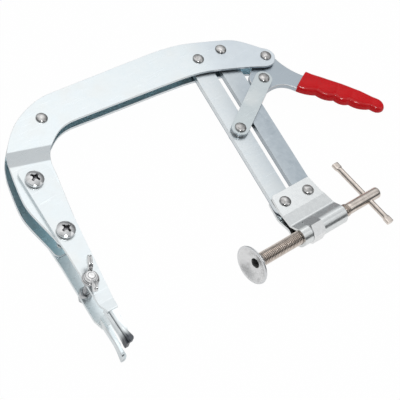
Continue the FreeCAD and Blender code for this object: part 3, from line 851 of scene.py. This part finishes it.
@dataclass
class Thread:
    """A rolled screw thread on a bar, with flattened crests and roots."""

    crest_mm: float
    pitch_mm: float
    depth_mm: float
    steps: int = 48
    per_turn: int = 10
    flatness: float = 1.35
    runout: float = 0.8

    def rows(self, start_mm: float, end_mm: float, axis: Axis, centre: Vector) -> Array:
        """Points of the threaded skin.

        Args:
            start_mm: where it starts along the axis.
            end_mm: where it ends.
            axis: the bar's direction.
            centre: a point on the bar's axis, in metres.

        Returns:
            Points as (row, column, 3).
        """
        count = int((end_mm - start_mm) / self.pitch_mm * self.per_turn)
        along = np.linspace(start_mm, end_mm, count)[:, None]
        angle = circle(self.steps)
        wave = np.cos(2 * pi * along / self.pitch_mm - angle)
        ridge = np.clip(0.5 * self.flatness * wave + 0.5, 0.0, 1.0)
        fade = np.clip(np.minimum(along - start_mm, end_mm - along) / (self.runout * self.pitch_mm), 0.0, 1.0)
        radius = self.crest_mm - self.depth_mm * (1.0 - ridge * fade)
        return axis.rows(radius, along, angle) * MM + np.array(centre)


@dataclass
class ScrewGear:
    """The spindle, the pad and the T-bar, with places along X from the pad's rim."""

    spindle_r: float = 6.0
    spindle_from: float = 10.0
    thread_to: float = 115.8
    spindle_to: float = 155.4
    pitch: float = 1.75
    thread_deep: float = 0.95
    shank_r: float = 5.25
    shank_ease: float = 0.6
    end_round: float = 2.4
    ball_r: float = 4.2
    ball_at: float = 6.2
    ball_cut_deg: float = 140.0
    neck_r: float = 3.1
    neck_ease: float = 0.4
    neck_in: float = 2.6
    pad_r: float = 17.6
    pad_t: float = 1.6
    pad_deep: float = 4.4
    pad_hole_r: float = 4.25
    pad_rim_w: float = 0.75
    hub_r: float = 7.5
    hub_to: float = 3.1
    hub_ease: float = 0.9
    hub_mouth_r: float = 3.9
    bar_r: float = 2.7
    bar_at: float = 141.3
    bar_flat: float = 6.0
    bar_flat_w: float = 7.0
    bar_flat_t: float = 3.6
    bar_blend: float = 2.4
    bar_end: float = 9.5
    bar_ease: float = 0.5

    def build_spindle(self, nickel: Material, plain: Material, dark: Material) -> None:
        """Builds the threaded spindle with its ball and smooth head.

        Args:
            nickel: finish of the thread.
            plain: finish of the smooth head.
            dark: finish of the ball, painted near-black as shade.
        """
        shell = Shell()
        thread = Thread(self.spindle_r, self.pitch, self.thread_deep)
        shell.sheet(thread.rows(self.spindle_from, self.thread_to, Axis.X, ORIGIN))
        root, wide = self.spindle_r - self.thread_deep, self.shank_r
        neck = [(self.neck_r, self.ball_at + self.neck_in), (self.neck_r, self.spindle_from - self.neck_ease),
                (self.neck_r + self.neck_ease, self.spindle_from), (root, self.spindle_from)]
        shell.turn(neck, ORIGIN, Axis.X, 48, 2)
        ball = [(self.ball_r * sin(t), self.ball_at - self.ball_r * cos(t))
                for t in np.linspace(0.0, radians(self.ball_cut_deg), 22)]
        shell.turn(ball, ORIGIN, Axis.X, 48, 2)
        straight = np.linspace(self.thread_to + self.shank_ease, self.spindle_to - self.end_round, 13)
        head = [(root, self.thread_to), (wide - 0.15, self.thread_to + 0.2)]
        head += [(wide, place) for place in straight]
        head += [(wide * cos(t), straight[-1] + self.end_round * sin(t)) for t in np.linspace(0.0, pi / 2, 9)]
        shell.turn(head, ORIGIN, Axis.X, 64, 1)
        stand_for(shell.piece("spindle_threaded", [nickel, plain, dark]), "spindle")

    def build_pad(self, satin: Material, edge: Material) -> None:
        """Builds the spun pad.

        Args:
            satin: finish of the dish.
            edge: finish of its rim, back and hub.
        """
        lip, fillet_r = 0.9 * self.pad_r, self.hub_r + 1.1
        dish = [(lip - (lip - self.pad_hole_r) * t, self.pad_deep * sin(pi / 2 * t) ** 1.15)
                for t in np.linspace(0.0, 1.0, 20)]
        back = [(r, h + self.pad_t) for r, h in reversed(dish) if r > fillet_r - 0.2]
        hole = [(self.pad_hole_r, self.ball_at - 0.2), (self.pad_hole_r, self.pad_deep)]
        shell = Shell()
        shell.turn(hole + dish[::-1][1:], ORIGIN, Axis.X, 96)
        rim = [(self.pad_r - self.pad_rim_w * (1.0 - sin(t)), self.pad_t / 2 * (1.0 - cos(t)))
               for t in np.linspace(0.0, pi, 9)]
        shell.turn([(lip, 0.0)] + rim + back[::-1][1:], ORIGIN, Axis.X, 96, 1)
        top, wall = self.ball_at + self.hub_to, self.pad_deep + 2.0
        hub = [back[0], (fillet_r, wall - 0.5), (self.hub_r + 0.2, wall), (self.hub_r, top - 1.5),
               (self.hub_r - self.hub_ease, top), (self.hub_mouth_r, top), (self.hub_mouth_r, top - 1.3)]
        shell.turn(hub, ORIGIN, Axis.X, 64, 1)
        stand_for(shell.piece("pad_spun", [satin, edge], 40.0), "pad")

    def build_bar(self, nickel: Material) -> None:
        """Builds the sliding bar with its flattened ends.

        Args:
            nickel: the finish.
        """
        low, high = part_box("t_bar")
        bottom, top = low.y / MM, high.y / MM
        end, around = self.bar_end, 48
        y = np.concatenate([[bottom], np.linspace(bottom, bottom + end, 20),
                            np.linspace(bottom + end + 0.5, top - end - 0.5, 12),
                            np.linspace(top - end, top, 20), [top]])[:, None]
        near = np.minimum(y - bottom, top - y)
        flat = np.clip((self.bar_flat - near + 1.6) / self.bar_blend, 0.0, 1.0)
        flat = flat * flat * (3 - 2 * flat)
        shrink = np.where(near > self.bar_ease, 1.0, 0.90 + 0.2 * near)
        shrink[[0, -1]] = 0.0
        half_x, half_z = ((self.bar_r + (size / 2 - self.bar_r) * flat) * shrink
                          for size in (self.bar_flat_w, self.bar_flat_t))
        angle, power = circle(around), 1.0 - 0.55 * flat
        rows = np.stack([self.bar_at + half_x * rounded(np.cos(angle), power), np.repeat(y, around, 1),
                         half_z * rounded(np.sin(angle), power)], -1)
        shell = Shell()
        shell.sheet(rows * MM)
        stand_for(shell.piece("t_bar_flattened", [nickel], 45.0), "t_bar")


@dataclass
class Jaw:
    """The clamp bolt and the wing nut."""

    bolt_r: float = 3.0
    bolt_pitch: float = 1.0
    bolt_deep: float = 0.5
    head_top: float = -12.1
    bolt_over: float = 0.15
    boss_r: float = 6.2
    boss_h: float = 5.4
    flange: float = 1.1
    wing_turn: float = 62.0
    wing_x: float = 10.2
    wing_z: float = 7.2
    wing_out: float = 6.6
    wing_in: float = 5.0
    wing_up: float = 4.3
    wing_low: float = 1.3
    wing_top: float = 13.4
    wing_lean: float = 0.28
    wing_t: float = 1.9
    wing_root_t: float = 0.3

    def build_bolt(self, zinc: Material, bright: Material) -> None:
        """Builds the threaded bolt and its head.

        Args:
            zinc: finish of the head and thread.
            bright: finish of the bolt's end.
        """
        low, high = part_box("jaw_bolt")
        centre = footprint(low, high)
        bottom, top = low.z / MM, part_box("wing_nut")[0].z / MM + self.boss_h + self.bolt_over
        shell = Shell()
        thread = Thread(self.bolt_r, self.bolt_pitch, self.bolt_deep, 32, 8)
        shell.sheet(thread.rows(self.head_top + 0.1, top - 0.7, Axis.Z, centre))
        end = [(self.bolt_r - self.bolt_deep, top - 0.7), (self.bolt_r, top - 0.6), (self.bolt_r, top - 0.25),
               (self.bolt_r - 0.3, top), (0.0, top + 0.15)]
        shell.turn(end, centre, Axis.Z, 32, 1)
        corner_r = (high.x - low.x) / MM / 2
        head = [(0.0, bottom), (corner_r * 0.92, bottom), (corner_r, bottom + 0.5), (corner_r, self.head_top),
                (0.0, self.head_top)]
        shell.turn(head, centre, Axis.Z, 6)
        stand_for(shell.piece("jaw_bolt_threaded", [zinc, bright]), "jaw_bolt")

    def boss(self, foot: float) -> Profile:
        """The wing nut's round from its seat over the flange and the boss back into its bore."""
        bore, wide, r, top = self.bolt_r + 0.1, self.boss_r + self.flange, self.boss_r, foot + self.boss_h
        return [(bore, foot + 0.4), (bore + 0.4, foot), (wide - 0.9, foot), (wide - 0.25, foot + 0.25),
                (wide, foot + 0.9), (wide - 0.2, foot + 1.6), (wide - 0.9, foot + 2.1), (r - 0.6, foot + 2.4),
                (r - 0.8, foot + 3.0), (r - 0.9, top - 1.3), (r - 1.1, top - 0.3), (r - 1.5, top),
                (bore + 0.15, top), (bore, top - 0.3)]

    def build_wing_nut(self, zinc: Material) -> None:
        """Builds the cast wing nut.

        Args:
            zinc: the finish.
        """
        low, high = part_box("wing_nut")
        centre, foot = footprint(low, high), low.z / MM
        shell = Shell()
        shell.turn(self.boss(foot), centre, Axis.Z, 64)
        for side in (0.0, pi):
            self._wing(shell, centre, foot, radians(self.wing_turn) + side)
        stand_for(shell.piece("wing_nut_cast", [zinc], 60.0), "wing_nut")

    def _wing(self, shell: Shell, centre: Vector, foot: float, turn: float) -> None:
        """Adds one wing as a rounded slab with a shallow groove round its rim.

        Args:
            shell: where it goes.
            centre: the nut's axis.
            foot: height of the nut's seat in millimetres.
            turn: the wing's direction.
        """
        angle = circle(36)
        cosine, sine = rounded(np.cos(angle), 0.8), rounded(np.sin(angle), 0.8)
        from_x = np.where(cosine > 0, self.wing_out, self.wing_in) * cosine
        edge_z = self.wing_z - 0.7 + self.wing_lean * from_x + self.wing_up * sine
        from_z = np.clip(edge_z, self.wing_low, self.wing_top) - self.wing_z
        rows = []
        for step in np.linspace(-1.0, 1.0, 17):
            inner = abs(step) < 1
            groove = 0.15 * exp(-(step / 0.22) ** 2)
            size = 0.86 + 0.14 * cos(pi / 2 * abs(step) ** 3) - groove if inner else 0.0
            x = self.wing_x + from_x * size
            z = self.wing_z + from_z * size
            thick = self.wing_t + self.wing_root_t * np.clip((9.0 - x) / 5.0, 0.0, 1.0)
            y = (step if inner else copysign(0.98, step)) * thick
            rows.append(np.stack([*turned(x, y, turn), foot + z], -1) * MM + np.array(centre))
        shell.sheet(np.array(rows))


@dataclass
class Grip:
    """The dipped grip over the lever's tang: flat cheeks, a smooth back and five finger ridges.

    The axis runs from start at tilt_deg; s is along it and w across it.
    """

    start: tuple[float, float] = (178.6, 133.0)
    tilt_deg: float = -52.0
    half_t: float = 5.7
    thin_below: float = 10.5
    length: float = 83.4
    tip_l: float = 9.0
    ridge: float = 2.45
    slant: float = 5.4
    slant_over: float = 16.0
    squareness: float = 2.9
    middle_w: float = 0.4
    creases: tuple[float, ...] = (-6.5, 18.7, 36.2, 50.5, 70.7, 89.2)
    crease_w: tuple[float, ...] = (-8.8, -7.2, -6.4, -5.7, -3.3, -1.1)
    back_s: tuple[float, ...] = (-1.0, 8.0, 22.0, 40.0, 58.0, 70.0, 83.4)
    back_w: tuple[float, ...] = (14.2, 13.4, 13.4, 13.3, 12.0, 9.9, 8.8)
    mouth_s: tuple[float, ...] = (-1.0, -1.0, -0.7, -0.2)
    mouth_size: tuple[float, ...] = (0.0, 0.94, 0.975, 0.995)
    tang_from: float = 40.0
    tang_share: float = 0.43
    tang_w: float = 1.75

    def edges(self, along: Array) -> tuple[Array, Array]:
        """The grip's two edges across its axis.

        Args:
            along: distances along the axis, in millimetres.

        Returns:
            The ridged edge and the smooth edge.
        """
        creases = np.array(self.creases)
        valley = np.interp(along, creases, self.crease_w)
        here = np.clip(np.searchsorted(creases, along) - 1, 0, len(creases) - 2)
        wave = np.abs(np.sin(pi * (along - creases[here]) / (creases[here + 1] - creases[here]))) ** 0.75
        back = np.interp(along, self.back_s, self.back_w)
        into_tip = np.clip((along - self.length + self.tip_l) / self.tip_l, 0.0, 1.0)
        tip = np.sqrt(np.clip(1.0 - into_tip ** 2.4, 0.0, 1.0))
        middle = self.middle_w
        return middle + (valley - self.ridge * wave - middle) * tip, middle + (back - middle) * tip

    def build(self, vinyl: Material) -> None:
        """Builds the grip.

        Args:
            vinyl: the finish.
        """
        body_to, mouth = self.length - self.tip_l, len(self.mouth_s)
        into_tip = np.sin(np.linspace(0.03, pi / 2, 26))
        s = np.concatenate([self.mouth_s, np.linspace(0.6, body_to, 150), body_to + self.tip_l * into_tip])
        swell = np.ones(len(s))
        swell[:mouth] = self.mouth_size
        low, high = self.edges(s)
        for edge in (low, high, low, high):
            edge[mouth:-1] = (edge[mouth - 1:-2] + 2.0 * edge[mouth:-1] + edge[mouth + 1:]) / 4.0
        s, swell, low, high = (row[:, None] for row in (s, swell, low, high))
        half = (high - low) / 2.0 * swell
        thick = self.half_t * swell * np.minimum(1.0, (np.maximum(half, 0.0) / self.thin_below) ** 0.6)
        angle, power = circle(72), 2.0 / self.squareness
        w = (high + low) / 2.0 + half * rounded(np.cos(angle), power)
        z = thick * rounded(np.sin(angle), power)
        near_mouth = np.maximum(0.0, 1.0 - (s + 1.0) / self.slant_over)
        lean = self.slant * (w - low) / (high - low + 1e-6) * near_mouth
        x, y = turned(s + lean, w, radians(self.tilt_deg))
        shell = Shell()
        shell.sheet(np.stack([self.start[0] + x, self.start[1] + y, z], -1) * MM)
        stand_for(shell.piece("grip_dipped", [vinyl], 70.0), "grip")

    def taper_tang(self, piece: Object) -> None:
        """Narrows the hidden end of the lever's tang so that the ridges' creases clear it.

        Args:
            piece: the lever's piece.
        """
        turn = radians(self.tilt_deg)
        run = Vector((cos(turn), sin(turn), 0.0))
        across = Vector((-run.y, run.x, 0.0))
        start = Vector((*self.start, 0.0)) * MM
        for vert in piece.data.vertices:
            if (vert.co - start).dot(run) > self.tang_from * MM:
                off = (vert.co - start).dot(across)
                vert.co += across * (off * self.tang_share + self.tang_w * MM - off)


@dataclass
class Studio:
    """White floor, soft light and the camera at the photograph's place. Sizes in metres."""

    eye: Triple = (-0.69633, -0.37371, 0.98400)
    look: Triple = (0.54465, 0.34786, -0.76312)
    up: Triple = (0.39725, 0.69437, 0.60004)
    lens_mm: float = 136.53
    sensor_mm: float = 36.0
    floor_size: float = 6.0
    floor_gap: float = 0.0002
    floor_grey: tuple[float, float] = (0.90, 0.92)
    seen_share: float = 0.985
    mirrored_share: float = 0.56
    bright_side: Triple = (0.12, 0.38, 0.917)
    sky: tuple[tuple[float, Colour], ...] = (
        (0.0, (0.13, 0.135, 0.14)), (0.25, (0.19, 0.195, 0.20)), (0.48, (0.24, 0.25, 0.26)),
        (0.64, (0.48, 0.49, 0.50)), (0.78, (0.70, 0.71, 0.72)), (0.88, (0.83, 0.84, 0.85)), (0.98, WHITE))
    lamps: tuple[tuple[str, Triple, Triple, float, float], ...] = (
        ("key", (0.86, 0.88, 1.50), (-0.10, 0.10, 0.0), 0.85, 0.8),
        ("side", (0.85, -0.75, 1.05), (0.05, 0.05, 0.0), 0.9, 1.3),
        ("sparkle", (-0.34, -0.43, 1.30), (0.19, 0.10, 0.0), 0.30, 3.0))

    def build_camera(self) -> None:
        """Puts the camera where the photograph was taken from."""
        data = bpy.data.cameras.new("camera")
        data.lens = self.lens_mm
        data.sensor_width = self.sensor_mm
        data.sensor_fit = "HORIZONTAL"
        data.clip_start = 0.01
        data.clip_end = 50.0
        camera = linked("camera", data)
        back = -Vector(self.look).normalized()
        right = Vector(self.up).cross(back).normalized()
        turn = Matrix((right, back.cross(right), back)).transposed().to_4x4()
        camera.matrix_world = Matrix.Translation(Vector(self.eye)) @ turn
        bpy.context.scene.camera = camera

    def build_floor(self) -> None:
        """Lays the white floor just under the compressor."""
        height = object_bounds()[0][2] - self.floor_gap
        ends = (-self.floor_size / 2, self.floor_size / 2)
        shell = Shell()
        shell.sheet(np.array([[(x, y, height) for x in ends] for y in ends]), False)
        paint = Paint.named("studio_white")
        camera, glossy, through = (paint.add("LightPath", {}, f"Is {ray} Ray")
                                   for ray in ("Camera", "Glossy", "Transmission"))
        speck = paint.noise(40.0, paint.place(), 2.0)
        dark, light = ((grey,) * 3 for grey in self.floor_grey)
        white = paint.add("BsdfPrincipled", {
            "Base Color": paint.mix(dark, light, speck), "Roughness": 0.9, "Specular IOR Level": 0.0})
        glow = paint.add("Emission", {"Color": WHITE})
        share = camera * self.seen_share + (glossy + through) * self.mirrored_share
        mixed = paint.add("MixShader", {0: share, 1: white, 2: glow})
        paint.add("OutputMaterial", {"Surface": mixed})
        shell.piece("floor", [paint.owner])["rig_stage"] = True

    def build_world(self) -> None:
        """Lights the room: white towards its bright side, darker away from it, plain white for the camera."""
        world = bpy.data.worlds.new("studio")
        bpy.context.scene.world = world
        paint = Paint(world)
        point = paint.add("TexCoord", {}, "Generated")
        towards = paint.add("VectorMath", {0: point, 1: self.bright_side}, "Value", operation="DOT_PRODUCT")
        sky = paint.add("ValToRGB", {"Fac": towards}, stops=self.sky)
        room, plain = (paint.add("Background", {"Color": colour}) for colour in (sky, WHITE))
        seen = paint.add("LightPath", {}, "Is Camera Ray")
        mixed = paint.add("MixShader", {0: seen, 1: room, 2: plain})
        paint.add("OutputWorld", {"Surface": mixed})

    def build_lamps(self) -> None:
        """Hangs the soft boxes."""
        for name, place, aim, size, watts in self.lamps:
            data = bpy.data.lights.new(name, "AREA")
            data.size = size
            data.energy = watts
            lamp = linked(name, data)
            lamp.location = place
            lamp.rotation_euler = (Vector(aim) - Vector(place)).to_track_quat("-Z", "Y").to_euler()

    def build(self) -> None:
        """Builds the whole studio."""
        self.build_camera()
        self.build_floor()
        self.build_world()
        self.build_lamps()
        bpy.context.scene.view_settings.view_transform = "Standard"


FINISHES = {
    "plate": ZincPlate("frame_zinc", inner_shade_share=0.65, shaded_rims_mm=(-9.5, -6.5, 4.0, 7.0), darker_from_mm=42.0,
                       darker_end=(0.68, 0.74, 0.79), tilt_shade=(0.60, 0.63, 0.645)),
    "strip": ZincPlate("strip_zinc", (0.825, 0.87, 0.885), (0.775, 0.83, 0.85), grain_turn=70.0,
                       polish_below_mm=24.0, inner_shade_share=0.12),
    "arm": ZincPlate("arm_zinc", (0.80, 0.84, 0.855), (0.71, 0.76, 0.785), grain_turn=77.0, cloud_mm=4.0,
                     shaded_rims_mm=(-2.5,), darker_from_mm=44.0, lighter_from_mm=130.0, darker_end=(0.40, 0.46, 0.51)),
    "lever": ZincPlate("lever_zinc", (0.53, 0.575, 0.605), (0.43, 0.475, 0.51), grain_turn=-52.0,
                       cloud_mm=5.0, darker_from_mm=48.0),
    "link": ZincPlate("link_zinc", (0.63, 0.685, 0.70), (0.555, 0.61, 0.63), grain_turn=35.0,
                      shaded_rims_mm=(-6.5, 4.0)),
    "bracket": ZincPlate("bracket_zinc", (0.84, 0.86, 0.86), (0.76, 0.78, 0.785),
                         roughness=0.24, cloud_mm=5.0),
    "nut": ZincPlate("nut_zinc", (0.93, 0.935, 0.935), (0.84, 0.845, 0.845), roughness=0.16, cloud_mm=3.0),
    "bolt": ZincPlate("bolt_zinc", (0.58, 0.59, 0.60), (0.30, 0.31, 0.32), roughness=0.14, cloud_mm=3.0),
    "edge": SawnEdge("sheared_edge"),
    "polished": PolishedSteel("rivet_steel"),
    "chrome": PolishedSteel("screw_chrome", (0.82, 0.82, 0.82), 0.05, 0.80),
    # Darker steel, painted as shade in the screws' cross recesses.
    "recess": PolishedSteel("recess_shade_steel", (0.26, 0.26, 0.27), 0.22),
    "thread": WarmNickel("thread_nickel", root_mm=4.95, crest_mm=5.9),
    "nickel": WarmNickel("smooth_nickel"),
    "satin": SpunDish("pad_satin"),
    "black": ShadedBall("ball_shade_black"),
    "vinyl": DippedVinyl("grip_red"),
}


def dress_sheets(looks: dict[str, Material], grip: Grip) -> None:
    """Dresses the sheets, nuts, washers and the spacer, with their edges eased.

    Args:
        looks: the finishes.
        grip: the grip, which the lever's tang has to clear.
    """
    edge, bolt, polished = looks["edge"], looks["bolt"], looks["polished"]
    for side in ("front", "back"):
        eased("frame_plate_" + side, looks["plate"], edge, 0.65)
        eased("jaw_strip_" + side, looks["strip"], edge, 0.6)
        eased("link_" + side, looks["link"], edge, 0.65)
    for node in ("main_arm", "guide_arm"):
        eased(node, looks["arm"], edge, 0.65)
    grip.taper_tang(eased("lever", looks["lever"], edge, 0.65))
    eased("screw_bracket", looks["bracket"], edge, 0.4)
    # Painted shade: the captive nut's eased edges take the darker bolt zinc, a dark outline round the nut.
    eased("captive_nut", looks["nut"], bolt, 0.35, 25.0)
    eased("clamp_washer", bolt, bolt, 0.2)
    eased("bolt_nut", bolt, bolt, 0.3)
    for node in ("corner_spacer", "pivot_washers", "link_washers"):
        eased(node, polished, polished, 0.2)


def main() -> None:
    """Dresses every sub-assembly and lights the scene."""
    logging.basicConfig(level=logging.INFO, format="%(message)s")
    looks = {key: finish.material() for key, finish in FINISHES.items()}
    grip = Grip()
    dress_sheets(looks, grip)
    for node in ("frame_rivets", "link_rivets", "bracket_rivets"):
        Rivets().build(node, looks["polished"])
    PanScrews().build(looks["chrome"], looks["recess"])
    gear = ScrewGear()
    gear.build_spindle(looks["thread"], looks["nickel"], looks["black"])
    gear.build_pad(looks["satin"], looks["edge"])
    gear.build_bar(looks["nickel"])
    jaw = Jaw()
    jaw.build_bolt(looks["bolt"], looks["chrome"])
    jaw.build_wing_nut(looks["chrome"])
    grip.build(looks["vinyl"])
    Studio().build()


if __name__ == "__main__":
    main()
